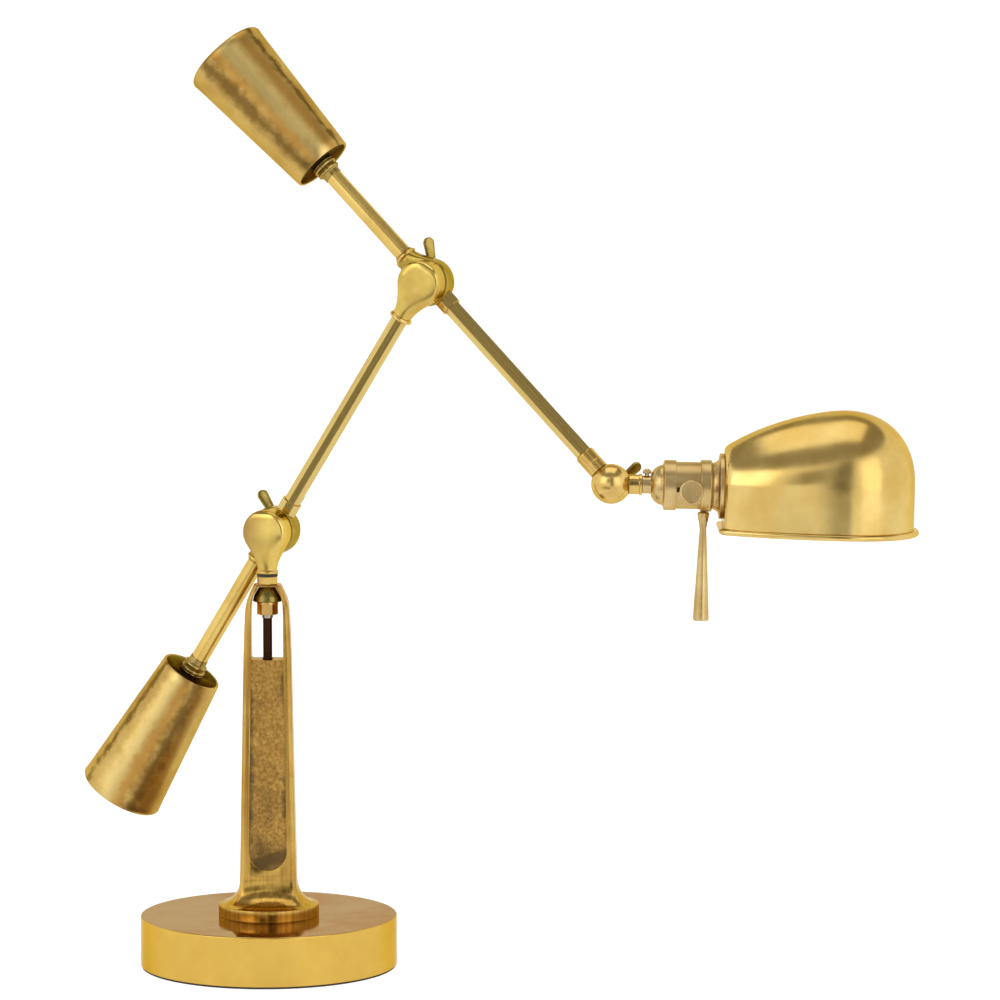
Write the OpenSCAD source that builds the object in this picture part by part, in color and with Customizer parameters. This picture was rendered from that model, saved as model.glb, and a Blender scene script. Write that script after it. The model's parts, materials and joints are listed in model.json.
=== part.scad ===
// Swing arm desk lamp: weighted base, cast pillar, two balanced booms and a dome shade.
// Millimetres, +Z up. The origin is the middle of the base's felt; the lamp head is towards +X.

/* [Base and pillar] */
// Diameter of the base disc
base_d = 190; // [170:1:220]
// Height of the top of the base disc
base_h = 38; // [34:1:44]
// Height of the crown of the pillar
crown_z = 284.5; // [270:0.5:300]
// Width of the pillar at its foot
pillar_foot_w = 41.4; // [38:0.2:46]
// Depth of the pillar at its foot
pillar_foot_t = 29; // [26:0.5:32]
// Width of the window in the pillar
window_w = 23.5; // [21:0.5:24]

/* [Booms] */
// Turn of both booms about the pillar, towards the front
pan = 20; // [0:1:30]
// Height of the lower pivot above the crown
pivot_rise = 38.5; // [36:0.5:44]
// Distance between the planes of neighbouring knuckles
plane_gap = 16; // [16:0.5:20]
// Length of the lower boom, pivot to pivot
lower_len = 218.2; // [200:0.2:260]
// Slope of the lower boom above the horizontal
lower_slope = 58; // [50:1:64]
// Length of the upper boom, pivot to knuckle
upper_len = 201; // [180:1:240]
// Slope of the upper boom below the horizontal
upper_slope = 45.5; // [40:0.5:52]
// Width of the eight-sided boom tube across its flats
tube_af = 12; // [11:0.2:13]

/* [Counterweights] */
// Distance from the lower pivot to the small end of its weight
lower_weight_start = 128; // [118:1:140]
// Distance from the upper pivot to the small end of its weight
upper_weight_start = 118.5; // [110:0.5:140]
// Length of a weight
weight_len = 112; // [95:1:120]
// Diameter of the small end of a weight
weight_small_d = 46; // [40:0.5:48]
// Diameter of the big end of a weight
weight_big_d = 63.5; // [56:0.5:66]

/* [Head] */
// Length of the shade from its back wall to its nose
shade_len = 138.5; // [130:0.5:160]
// Height of the shade above its rim
shade_h = 89.5; // [84:0.5:98]
// Width of the shade at its widest
shade_w = 102; // [96:1:130]
// Height of the socket's axis above the rim
shade_axis_h = 32.6; // [30:0.2:40]
// Droop of the shade's nose below the horizontal
nose_drop = 1.2; // [0:0.1:3]

/* [Hidden] */
$fn = 64;

// Shared clearances and walls
fit = 0.03;          // radial gap of a pin in its own body's hole
run = 0.06;          // radial gap of a pin that turns in its hole
gap = 0.3;           // gap between bodies that pass each other

// Base
felt_t = 1.5;
base_wall = 3;
base_edge_r = 1;
weight_top = base_h - base_wall;
weight_bottom = 6;
flange_r = 37.2;
flange_h = 8.4;
nipple_r = 6.5;
nipple_bore = 5.2;
cord_r = 3.35;
cord_run_z = 12;
cord_bend_r = 22;
gland_r = 5.5;
gland_bore = 3.75;
gland_in = 11;

// Pillar
foot_z = base_h + 29;
waist_z = 229;
shoulder_z = 268;
crown_t = 1.2;
pillar_bore = 4.6;
recess_t = 2.8;
shaft_t = pillar_foot_t - 4;
shaft_taper = atan((pillar_foot_t - shaft_t) / 2 / (waist_z - foot_z));
recess_r = 14;

// Stem stack, measured down from the crown and up from it
stem_r = 4;
stem_bore = 2.6;
pivot_z = crown_z + pivot_rise;
nut_z = crown_z + 0.3;
washer_z = nut_z + 5.5;
ring_z = washer_z + 1.7;
cup_top = crown_z - crown_t - 0.2;
cup_h = 11.3;
lock_z = cup_top - cup_h;
bush_z = lock_z - 9.7;
cord_top = bush_z - 2.5;

// Knuckles and drums
knuckle_r = 17;
drum_r = 17.9;
half_t = plane_gap / 2 - 0.25;
neck_r = 7.05;
neck_out = 28;
stud_r = 3;
stud_in = 2;
boss_r = 7.2;
collar_af = 14.8;
collar_start = 12.4;
collar_end = 25.5;
boss_end = 22;
lower_turn = 14;     // turn of the lower boom's flats about its own axis
upper_turn = -18;    // and of the upper boom's
ring_out = 26;
wire_r = 2.5;
tube_bore = 4;
rod_r = 6.3;

// Weights
cap_t = 3;
shell_t = 2.2;
core_len = 70;

// Head, distances along the socket's axis from the middle of the knuckle
ball_r = 14.5;
seam = 0.15;
head_stud_r = 2;
drum_back = 12.65;
neck_end = 22.4;
shell_start = 46.9;
ring2 = 64.7;
fitter = 72.9;
wall_x = 81.7;
ear_twist = 128;
knob_x = 57.5;
knob_z = -2.1;
screw_x = 25.8;
handle_x = 67.4;
shade_t = 1.2;
front_reach = 52.8;  // from the shade's tallest point to its nose
back_reach = 108;    // and to where its back would close
apex_x = shade_len - front_reach;
skirt_h = 35.5;        // straight part of the shade above its rim
shade_around = 48;
shade_up = 9;

// Where the upper pivot is in the plane of the booms, and how the head is levelled
joint2_x = lower_len * cos(lower_slope);
joint2_z = pivot_z + lower_len * sin(lower_slope);
aim_x = cos(nose_drop) * cos(pan) * cos(upper_slope) + sin(nose_drop) * sin(upper_slope);
aim_y = cos(nose_drop) * sin(pan);
aim_z = cos(nose_drop) * cos(pan) * sin(upper_slope) - sin(nose_drop) * cos(upper_slope);
head_tilt = acos(aim_x);
head_roll = atan2(-aim_y, aim_z);
head_level = atan2(
    sin(head_tilt) * sin(pan) * cos(upper_slope)
        - cos(head_tilt) * (sin(head_roll) * cos(pan) + cos(head_roll) * sin(pan) * sin(upper_slope)),
    cos(head_roll) * cos(pan) - sin(head_roll) * sin(pan) * sin(upper_slope));

// Points on an arc of radius r about [x, y], from angle a to angle b
function arc(x, y, r, a, b, n = 6) =
    [for (i = [0:n]) [x + r * cos(a + (b - a) * i / n), y + r * sin(a + (b - a) * i / n)]];

// A solid or hollow turned piece; each point is [radius, height]
module turned(points) {
    rotate_extrude($fn = 72) polygon(points);
}

module along_x() {
    rotate([0, 90, 0]) children();
}

module along_y() {
    rotate([-90, 0, 0]) children();
}

module tube(r, bore, h) {
    difference() {
        cylinder(r = r, h = h);
        translate([0, 0, -1]) cylinder(r = bore, h = h + 2);
    }
}

// Local frames: x runs along the boom, y away from the front, z across the boom
module at_arm() {
    rotate([0, 0, -pan]) children();
}

module at_lower() {
    at_arm() translate([0, plane_gap, pivot_z]) rotate([0, -lower_slope, 0]) children();
}

module at_upper() {
    at_arm() translate([joint2_x, 2 * plane_gap, joint2_z]) rotate([0, upper_slope, 0]) children();
}

module at_mount() {
    at_upper() translate([upper_len, 0, 0]) rotate([head_roll, 0, 0]) children();
}

module at_head() {
    at_mount() rotate([0, -head_tilt, 0]) children();
}

module at_level() {
    at_head() rotate([head_level, 0, 0]) children();
}

// ---- Base ----

module base_shell() {
    r = base_d / 2;
    color([0.72, 0.58, 0.30]) difference() {
        turned(concat(
            [[0, felt_t], [r, felt_t]],
            arc(r - base_edge_r, base_h - base_edge_r, base_edge_r, 0, 90),
            [[0, base_h]]));
        translate([0, 0, felt_t - 1]) cylinder(r = r - base_wall, h = weight_top - felt_t + 1);
        cylinder(r = nipple_r + fit, h = base_h + 1);
        translate([0, 0, cord_run_z]) along_y() cylinder(r = gland_r + fit, h = r + 5);
    }
}

module base_weight() {
    r = base_d / 2 - base_wall - 1;
    color([0.22, 0.22, 0.23]) difference() {
        translate([0, 0, weight_bottom]) tube(r, 20, weight_top - weight_bottom);
        translate([-8, 0, 0]) cube([16, base_d, cord_run_z + 8]);
    }
}

module base_felt() {
    color([0.08, 0.09, 0.08]) cylinder(r = base_d / 2 - 0.8, h = felt_t);
}

// One level of the pillar: a rectangle with bevelled corners
module pillar_level(w, t, bevel, z) {
    x = w / 2;
    y = t / 2;
    translate([0, 0, z]) linear_extrude(0.1) polygon([
        [x, y - bevel], [x - bevel, y], [bevel - x, y], [-x, y - bevel],
        [-x, bevel - y], [bevel - x, -y], [x - bevel, -y], [x, bevel - y]]);
}

// One level of the flare at the foot, from the flange's edge (s = 0) to the shaft (s = 1)
module flare_level(s) {
    out = 1 - sin(90 * s);
    w = pillar_foot_w + (2 * flange_r - 4 - pillar_foot_w) * out;
    t = pillar_foot_t + (2 * flange_r - 4 - pillar_foot_t) * out;
    z = base_h + flange_h + (foot_z - base_h - flange_h) * (1 - cos(90 * s));
    pillar_level(w, t, 2.5 + 18 * out, z);
}

// The front recess with its round foot, cut from y = 0 towards -y
module recess() {
    rotate([90, 0, 0]) linear_extrude(30) polygon(concat(
        arc(0, foot_z + 20, recess_r, 180, 360, 12),
        [[window_w / 2, waist_z], [window_w / 2, shoulder_z - 8],
         [6, crown_z - 9], [-6, crown_z - 9],
         [-window_w / 2, shoulder_z - 8], [-window_w / 2, waist_z]]));
}

module window() {
    w = window_w / 2;
    top = crown_z - crown_t;
    rotate([90, 0, 0]) linear_extrude(60, center = true) polygon([
        [w - 1, waist_z], [w, waist_z + 1], [w, shoulder_z - 6], [w - 0.25, shoulder_z + 2],
        [w - 1.3, shoulder_z + 8], [6.1, top], [-6.1, top], [1.3 - w, shoulder_z + 8],
        [0.25 - w, shoulder_z + 2], [-w, shoulder_z - 6], [-w, waist_z + 1], [1 - w, waist_z]]);
}

module pillar() {
    steps = 5;
    color([0.70, 0.55, 0.30]) difference() {
        union() {
            translate([0, 0, base_h]) turned(concat(
                [[0, 0], [flange_r, 0]],
                arc(flange_r - 1.5, flange_h - 1.5, 1.5, 0, 90),
                [[0, flange_h]]));
            for (i = [0:steps - 1]) hull() {
                flare_level(i / steps);
                flare_level((i + 1) / steps);
            }
            hull() {
                pillar_level(pillar_foot_w, pillar_foot_t, 2.5, foot_z);
                pillar_level(35, shaft_t, 2.5, waist_z);
                pillar_level(31.5, shaft_t - 1, 2.5, shoulder_z);
                pillar_level(26.5, shaft_t - 3, 2.5, shoulder_z + 9);
                pillar_level(19.5, shaft_t - 6, 2.5, crown_z - 0.1);
            }
        }
        window();
        for (side = [0, 1]) mirror([0, side, 0]) translate([0, recess_t - pillar_foot_t / 2, foot_z])
            rotate([-shaft_taper, 0, 0]) translate([0, 0, -foot_z]) recess();
        translate([0, 0, base_h - 1]) cylinder(r = nipple_r + fit, h = 26);
        translate([0, 0, base_h]) cylinder(r = pillar_bore, h = waist_z - base_h + 1);
        translate([0, 0, waist_z + 1]) cylinder(r = stem_r + run, h = crown_z);
    }
}

module pillar_nipple() {
    color([0.62, 0.62, 0.60]) translate([0, 0, 26]) tube(nipple_r, nipple_bore, base_h + 24 - 26);
}

module pillar_nut() {
    color([0.62, 0.62, 0.60]) difference() {
        translate([0, 0, weight_top - 5]) cylinder(r = 11, h = 5, $fn = 6);
        cylinder(r = nipple_r + fit, h = base_h);
    }
}

module cord_gland() {
    r = base_d / 2;
    color([0.10, 0.07, 0.05]) translate([0, r - gland_in, cord_run_z]) along_y() difference() {
        turned([[0, 0], [gland_r, 0], [gland_r, gland_in], [7.5, gland_in + 0.05],
            [7.0, gland_in + 2], [0, gland_in + 2]]);
        translate([0, 0, -1]) cylinder(r = gland_bore, h = gland_in + 4);
    }
}

module inner_cord() {
    color([0.20, 0.10, 0.04]) union() {
        bend_z = cord_run_z + cord_bend_r;
        translate([0, 0, bend_z]) cylinder(r = cord_r, h = cord_top - gap - bend_z);
        translate([0, cord_bend_r, bend_z]) rotate([90, 0, -90])
            rotate_extrude(angle = -90) translate([cord_bend_r, 0]) circle(r = cord_r);
        translate([0, cord_bend_r, cord_run_z]) along_y()
            cylinder(r = cord_r, h = base_d / 2 - gland_in - cord_bend_r);
    }
}

// ---- Knuckle shapes shared by the two arm joints ----

// A pear with its flat face towards +y and its neck towards -z
module pear(r, mouth) {
    hull() {
        along_y() cylinder(r = r, h = mouth, $fn = 48);
        along_y() translate([0, 0, -4]) cylinder(r = r - 1.2, h = 4, $fn = 48);
        along_y() translate([0, 0, -7.5]) cylinder(r = r - 5, h = 4, $fn = 32);
        along_y() translate([0, 0, -9]) cylinder(r = r - 11, h = 2, $fn = 24);
        translate([0, 0, -neck_out + 4]) cylinder(r = neck_r, h = 1, $fn = 32);
    }
}

// A domed drum with its flat face towards -y
module drum(r, mouth, depth) {
    along_y() turned(concat(
        [[0, -mouth], [r, -mouth], [r, depth - 6]],
        arc(r - 6, depth - 6, 6, 0, 75, 6),
        [[0, depth]]));
}

module friction_washer(r) {
    color([0.12, 0.11, 0.10]) translate([0, -half_t - 0.2, 0]) along_y() tube(r, stud_r + run, 0.2);
}

module ear_disc(x, r, t) {
    translate([x, 0, 0]) rotate([90, 0, 0]) cylinder(r = r, h = t, center = true, $fn = 24);
}

// One ear of a wing nut along x: a thin paddle, twisted so that its broad face looks forward
module ear(reach) {
    translate([0, 0, 4]) rotate([ear_twist, 0, 0]) hull() {
        ear_disc(3, 2.4, 2.4);
        ear_disc(reach * 0.62, 3.6, 2.2);
        ear_disc(reach - 4.2, 4.2, 1.8);
    }
}

// A wing nut on a stud: a turned hub and two ears that stand a little apart
module wing_nut(reach, spread, bore) {
    hub = bore + 3;
    difference() {
        union() {
            turned([[0, 0], [hub, 0], [hub, 2], [hub - 1.2, 8], [0, 8]]);
            for (side = [-1, 1]) rotate([0, 0, side * spread]) ear(reach);
        }
        translate([0, 0, -1]) cylinder(r = bore + run, h = 12);
    }
}

// ---- Swivel ----

module swivel_knuckle() {
    color([0.78, 0.63, 0.32]) at_arm() translate([0, 0, pivot_z]) difference() {
        union() {
            pear(knuckle_r, half_t - 0.05);
            translate([0, 0, ring_z - pivot_z]) turned([
                [0, 0], [7.4, 0], [8.1, 0.6], [8.1, 2.2], [7.4, 2.9], [neck_r, 3.2], [neck_r, 12], [0, 12]]);
        }
        translate([0, -stud_in, 0]) along_y() cylinder(r = stud_r + fit, h = 20);
        translate([0, 0, ring_z - pivot_z - 1]) cylinder(r = stem_r + fit, h = 16);
    }
}

module swivel_stem() {
    color([0.66, 0.55, 0.33]) translate([0, 0, bush_z]) tube(stem_r, stem_bore, ring_z + 14 - bush_z);
}

module stem_washer() {
    color([0.06, 0.05, 0.05]) translate([0, 0, washer_z]) tube(7.7, stem_r + fit, ring_z - washer_z);
}

module swivel_hex_nut() {
    color([0.75, 0.60, 0.30]) at_arm() difference() {
        translate([0, 0, nut_z]) cylinder(r = 7 / cos(30), h = washer_z - nut_z, $fn = 6);
        cylinder(r = stem_r + fit, h = pivot_z);
    }
}

module swivel_cup_washer() {
    color([0.25, 0.22, 0.08]) translate([0, 0, lock_z]) difference() {
        turned([[0, 0], [10.3, 0], [10.7, 0.5], [10.4, 1.9], [10.0, 4.1], [9.1, 5.8], [7.9, 7.8],
            [6.8, 9.6], [5.7, cup_h], [0, cup_h]]);
        translate([0, 0, -1]) cylinder(r = stem_r + fit, h = cup_h + 2);
    }
}

module swivel_lock_nut() {
    color([0.62, 0.42, 0.20]) difference() {
        union() {
            translate([0, 0, lock_z - 2]) cylinder(r = 7.9, h = 2);
            translate([0, 0, bush_z]) cylinder(r = 6.7 / cos(30), h = lock_z - 2 - bush_z, $fn = 6);
        }
        translate([0, 0, bush_z - 1]) cylinder(r = stem_r + fit, h = cup_h + 12);
    }
}

module cord_bush() {
    color([0.45, 0.42, 0.40]) translate([0, 0, cord_top]) tube(4.1, stem_bore, bush_z - cord_top);
}

module lower_pivot_stud() {
    at_arm() translate([0, 0, pivot_z]) pivot_stud();
}

module pivot_stud() {
    color([0.60, 0.60, 0.58]) translate([0, -stud_in, 0]) along_y()
        cylinder(r = stud_r, h = plane_gap + stud_in + 8.5 + 8);
}

// ---- A boom: the same turned pieces on both ----

module boom_drum(turn) {
    color([0.76, 0.61, 0.30]) difference() {
        union() {
            drum(drum_r, half_t, 8);
            translate([-boss_end, 0, 0]) along_x() cylinder(r1 = 7.8, r2 = boss_r, h = 22);
        }
        translate([0, -20, 0]) along_y() cylinder(r = stud_r + run, h = 40);
        translate([collar_start - 0.1, 0, 0]) along_x() rotate([0, 0, 22.5 + turn])
            cylinder(r = (collar_af / 2 + fit) / cos(22.5), h = 20, $fn = 8);
        translate([-boss_end - 1, 0, 0]) along_x() cylinder(r = rod_r + fit, h = 9);
    }
}

module boom_collar(turn) {
    color([0.80, 0.65, 0.33]) translate([collar_start, 0, 0]) along_x() rotate([0, 0, 22.5 + turn])
    difference() {
        cylinder(r = collar_af / 2 / cos(22.5), h = collar_end - collar_start, $fn = 8);
        translate([0, 0, -1]) cylinder(r = (tube_af / 2 + fit) / cos(22.5), h = 20, $fn = 8);
    }
}

module boom_tube(start, end, turn) {
    color([0.80, 0.64, 0.32]) translate([start, 0, 0]) along_x() rotate([0, 0, 22.5 + turn])
    difference() {
        cylinder(r = tube_af / 2 / cos(22.5), h = end - start, $fn = 8);
        translate([0, 0, -1]) cylinder(r = tube_bore, h = end - start + 2);
    }
}

module boom_wire(start, end) {
    color([0.12, 0.10, 0.08]) translate([start, 0, 0]) along_x() cylinder(r = wire_r, h = end - start);
}

module rod(start) {
    color([0.78, 0.62, 0.30]) translate([-start - 10, 0, 0]) along_x()
        cylinder(r = rod_r, h = start + 10 - boss_end + 8);
}

module rod_ferrule() {
    color([0.82, 0.67, 0.36]) translate([-ring_out - 1.5, 0, 0]) along_x() difference() {
        turned(concat([[0, 0], [7.2, 0]], arc(7.0, 1.7, 1.6, -80, 80), [[7.2, 3.4], [7.2, 5.5], [0, 5.5]]));
        translate([0, 0, -1]) cylinder(r = rod_r + fit, h = 8);
    }
}

module weight_ferrule(start) {
    color([0.80, 0.65, 0.34]) translate([-start, 0, 0]) along_x() difference() {
        turned(concat(
            [[0, 0], [9.0, 0]],
            arc(7.6, 2.0, 1.8, -60, 80),
            [[7.2, 4.2]],
            arc(7.2, 6.2, 1.7, -80, 80),
            [[7.0, 8.4], [6.8, 12], [0, 12]]));
        translate([0, 0, -1]) cylinder(r = rod_r + fit, h = 16);
    }
}

// The weight's shell, from its small end at z = 0 to its open big end
module weight_shell(start) {
    s = weight_small_d / 2;
    b = weight_big_d / 2;
    color([0.72, 0.55, 0.27]) translate([-start, 0, 0]) rotate([0, -90, 0]) difference() {
        turned(concat(
            [[0, 0], [s - 2.2, 0.5], [s - 0.6, 0.9], [s, 1.6]],
            arc(b - 4, weight_len - 4, 4, 10, 90),
            [[0, weight_len]]));
        translate([0, 0, -1]) cylinder(r = rod_r + fit, h = 20);
        turned([
            [0, shell_t + 1], [s - shell_t - 0.4, shell_t + 1],
            [b - 5.5, weight_len - cap_t], [b - 5.5, weight_len + 1], [0, weight_len + 1]]);
    }
}

module weight_core(start) {
    s = weight_small_d / 2 - shell_t - 1;
    color([0.35, 0.35, 0.36]) translate([-start - shell_t - 1.2, 0, 0]) rotate([0, -90, 0]) difference() {
        cylinder(r = s, h = core_len);
        translate([0, 0, -1]) cylinder(r = rod_r + fit, h = 8.2);
    }
}

module weight_cap(start) {
    color([0.70, 0.54, 0.27]) translate([-start - weight_len + cap_t, 0, 0]) rotate([0, -90, 0])
        turned([[0, 0], [weight_big_d / 2 - 5.6, 0], [weight_big_d / 2 - 5.6, cap_t - 0.4],
            [weight_big_d / 2 - 6.6, cap_t], [0, cap_t]]);
}

module lower_drum() {
    at_lower() boom_drum(lower_turn);
}

module lower_friction_washer() {
    at_lower() friction_washer(13);
}

module lower_boom_collar() {
    at_lower() boom_collar(lower_turn);
}

module lower_boom_tube() {
    at_lower() boom_tube(12.5, lower_len - neck_out + 3, lower_turn);
}

module lower_boom_wire() {
    at_lower() boom_wire(13, lower_len - neck_out + 2);
}

module lower_weight_rod() {
    at_lower() rod(lower_weight_start);
}

module lower_rod_ferrule() {
    at_lower() rod_ferrule();
}

module lower_weight_ferrule() {
    at_lower() weight_ferrule(lower_weight_start);
}

module lower_weight_shell() {
    at_lower() weight_shell(lower_weight_start);
}

module lower_weight_core() {
    at_lower() weight_core(lower_weight_start);
}

module lower_weight_cap() {
    at_lower() weight_cap(lower_weight_start);
}

module upper_knuckle() {
    color([0.78, 0.63, 0.32]) at_lower() translate([lower_len, 0, 0]) difference() {
        union() {
            rotate([0, 90, 0]) pear(knuckle_r - 0.5, half_t - 0.05);
            translate([-neck_out - 4.5, 0, 0]) along_x() turned(concat(
                [[0, 0], [8.0, 0]], arc(7.2, 1.7, 1.6, -60, 70), [[7.6, 3.6], [7.6, 12], [0, 12]]));
        }
        translate([0, -stud_in, 0]) along_y() cylinder(r = stud_r + fit, h = 20);
        translate([-neck_out - 5, 0, 0]) along_x() rotate([0, 0, 22.5 + lower_turn])
            cylinder(r = (tube_af / 2 + fit) / cos(22.5), h = 8.1, $fn = 8);
    }
}

module upper_pivot_stud() {
    at_lower() translate([lower_len, 0, 0]) pivot_stud();
}

module upper_drum() {
    at_upper() boom_drum(upper_turn);
}

module upper_friction_washer() {
    at_upper() friction_washer(13);
}

module upper_boom_collar() {
    at_upper() boom_collar(upper_turn);
}

module upper_boom_tube() {
    at_upper() boom_tube(12.5, upper_len - 30, upper_turn);
}

module upper_boom_wire() {
    at_upper() boom_wire(13, upper_len - 30);
}

module upper_weight_rod() {
    at_upper() rod(upper_weight_start);
}

module upper_rod_ferrule() {
    at_upper() rod_ferrule();
}

module upper_weight_ferrule() {
    at_upper() weight_ferrule(upper_weight_start);
}

module upper_weight_shell() {
    at_upper() weight_shell(upper_weight_start);
}

module upper_weight_core() {
    at_upper() weight_core(upper_weight_start);
}

module upper_weight_cap() {
    at_upper() weight_cap(upper_weight_start);
}

// ---- Head ----

// The side of the ball that belongs to the other half, with room to turn
module other_half(side) {
    intersection() {
        sphere(r = ball_r + gap);
        translate([-20, side > 0 ? -seam : -40 + seam, -20]) cube([40, 40, 40]);
    }
}

// Turns on a spigot in the end of the boom tube
module boom_end_sleeve() {
    color([0.80, 0.65, 0.34]) at_mount() difference() {
        translate([-29.5, 0, 0]) along_x() turned([
            [0, -8], [3.92, -8], [3.92, 0], [7.0, 0], [7.3, 0.5], [7.3, 9], [7.0, 9.4],
            [7.3, 9.8], [7.3, 16.5], [0, 16.5]]);
        translate([-40, 0, 0]) along_x() cylinder(r = 2.8, h = 30);
        other_half(1);
    }
}

module head_knuckle() {
    color([0.84, 0.66, 0.32]) at_mount() difference() {
        sphere(r = ball_r);
        translate([-20, -seam, -20]) cube(40);
        translate([-30, 0, 0]) along_x() cylinder(r = 7.3 + fit, h = 17.1);
        translate([0, -9, 0]) along_y() cylinder(r = head_stud_r + fit, h = 20);
    }
}

module head_pivot_stud() {
    color([0.60, 0.60, 0.58]) at_mount() translate([0, -9, 0]) along_y() cylinder(r = head_stud_r, h = 30);
}

module head_drum() {
    color([0.80, 0.63, 0.30]) at_head() difference() {
        union() {
            intersection() {
                sphere(r = ball_r);
                translate([-20, seam, -20]) cube([40, drum_back - seam, 40]);
            }
            translate([5, 0, 0]) along_x() turned([
                [0, 0], [7.15, 0], [7.15, 15.2], [7.85, 15.6], [7.85, 17.1], [7.4, neck_end - 5],
                [0, neck_end - 5]]);
        }
        other_half(-1);
        translate([0, -9, 0]) along_y() cylinder(r = head_stud_r + run, h = 40);
        translate([ball_r, 0, 0]) along_x() cylinder(r = 4, h = 20);
    }
}

module head_friction_washer() {
    color([0.12, 0.11, 0.10]) at_head() translate([0, -0.05, 0]) along_y() tube(9, head_stud_r + run, 0.2);
}

module socket_cap() {
    color([0.76, 0.60, 0.32]) at_level() translate([neck_end + 0.2, 0, 0]) along_x() difference() {
        turned(concat(
            [[0, 0], [6.5, 0], [6.5, 6.3]],
            arc(4.3, 16.1, 10.5, -70, -8, 6),
            [[18.2, 15.8], [18.2, 24.2], [0, 24.2]]));
        translate([0, 0, -1]) cylinder(r = 3.8, h = 30);
        turned([[0, 9], [6, 9], [13, 17.4], [15.6, 17.4], [15.6, 21.8], [17.08, 21.8], [17.08, 26], [0, 26]]);
        translate([0, 0, screw_x - neck_end - 0.2]) rotate([0, -90, 0]) cylinder(r = 1.5 + run, h = 10);
    }
}

module socket_shell() {
    color([0.78, 0.62, 0.34]) at_level() difference() {
        translate([shell_start - 2.3, 0, 0]) along_x() tube(17.05, 16.2, fitter - 0.5 - shell_start + 2.3);
        translate([knob_x, 0, knob_z]) rotate([90, 0, 0]) cylinder(r = 2.4, h = 20);
        translate([shell_start + 0.4, -20, knob_z - 1.2]) cube([knob_x - shell_start - 2, 20, 3.6]);
    }
}

module socket_liner() {
    start = shell_start - 5;
    color([0.16, 0.14, 0.12]) at_level() translate([start, 0, 0]) along_x()
        tube(15.1, 14.4, wall_x + 1 - start);
}

module socket_screw_shell() {
    color([0.75, 0.65, 0.35]) at_level() translate([58, 0, 0]) along_x() tube(14.3, 13.6, 24);
}

module bulb_base() {
    color([0.75, 0.72, 0.62]) at_level() translate([59, 0, 0]) along_x()
        turned([[0, 0], [4.5, 0], [5, 2], [11, 3], [13.1, 5], [13.1, 27], [0, 27]]);
}

module bulb_glass() {
    color([0.93, 0.92, 0.88]) at_level() translate([86, 0, 0]) along_x() difference() {
        turned(concat([[0, 0], [12.6, 0], [13.6, 12], [19, 28]], arc(0, 52, 25, -30, 88, 12), [[0, 77]]));
        turned(concat([[0, -1], [11.8, -1], [12.8, 12], [18.2, 28.2]], arc(0, 52, 24.2, -30, 88, 12),
            [[0, 76.2]]));
    }
}

module shade_holder() {
    color([0.78, 0.62, 0.33]) at_level() translate([ring2, 0, 0]) along_x() difference() {
        turned(concat(
            [[0, 0], [18.3, 0], [18.75, 0.5], [18.75, 7.2], [18.2, fitter - ring2]],
            [[16.6, fitter - ring2 + 0.3]],
            arc(22.5, 8.2, 5.6, 165, 108, 5),
            [[22.4, 13.4], [23.7, 13.8], [23.7, wall_x - ring2 - 0.5], [23.2, wall_x - ring2],
             [0, wall_x - ring2]]));
        translate([0, 0, -1]) cylinder(r = 17.05 + 0.1, h = fitter - ring2 + 1);
        cylinder(r = 15.1 + 0.25, h = 30);
        translate([0, 0, handle_x - ring2]) along_x() cylinder(r = 1.5 + fit, h = 20.5);
    }
}

// The shade's outer surface about its tallest point; grow moves it in or out
function plan_n(a) = cos(a) > 0 ? 2.15 : 1.75;
function plan_r(a, grow) =
    let (rx = (cos(a) > 0 ? front_reach : back_reach) + grow, ry = shade_w / 2 + grow, n = plan_n(a))
    pow(pow(abs(cos(a)) / rx, n) + pow(abs(sin(a)) / ry, n), -1 / n);
function cut_r(a, r, grow) = cos(a) < -0.01 ? min(r, (apex_x + grow) / -cos(a)) : r;
function dome_f(a, rise) = let (m = 1.92 + 0.33 * cos(a)) pow(1 - pow(rise, m), 1 / m);
function dome_ring(grow, rise, z) =
    [for (i = [0:shade_around - 1])
        let (a = 360 * (i + 0.5) / shade_around, r = cut_r(a, plan_r(a, grow) * dome_f(a, rise), grow))
        [wall_x + apex_x + r * cos(a), r * sin(a), z]];
function dome_rings(grow, foot) = concat(
    [dome_ring(grow, 0, foot)],
    [for (j = [0:shade_up - 1]) let (rise = sin(90 * j / shade_up))
        dome_ring(grow, rise, skirt_h + (shade_h - skirt_h + grow) * rise)]);

module dome(grow, foot) {
    rings = dome_rings(grow, foot);
    n = len(rings);
    m = shade_around;
    points = concat([for (r = rings) each r], [[wall_x + apex_x, 0, shade_h + grow]]);
    sides = [for (j = [0:n - 2]) for (i = [0:m - 1]) let (k = (i + 1) % m)
        each [[j * m + i, (j + 1) * m + k, j * m + k], [j * m + i, (j + 1) * m + i, (j + 1) * m + k]]];
    top = [for (i = [0:m - 1]) [(n - 1) * m + i, n * m, (n - 1) * m + (i + 1) % m]];
    floor = [[for (i = [0:m - 1]) i]];
    polyhedron(points = points, faces = concat(floor, sides, top), convexity = 4);
}

module shade() {
    color([0.74, 0.62, 0.34]) at_level() difference() {
        translate([0, 0, -shade_axis_h]) difference() {
            dome(0, 0);
            dome(-shade_t, -1);
        }
        translate([wall_x - 5, 0, 0]) along_x() cylinder(r = 15.4, h = 10);
    }
}

module handle() {
    color([0.78, 0.62, 0.34]) at_level() translate([handle_x, 0, -18.8]) rotate([180, 0, 0]) turned([
        [0, -1], [1.5, -1], [1.5, 0.2], [3.6, 0.4], [4.4, 1.2], [4.0, 4], [2.9, 9], [2.45, 13],
        [2.5, 14.5], [5.8, 78.4], [5.3, 79.4], [0, 79.4]]);
}

// ---- Loose turning pieces ----

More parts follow.
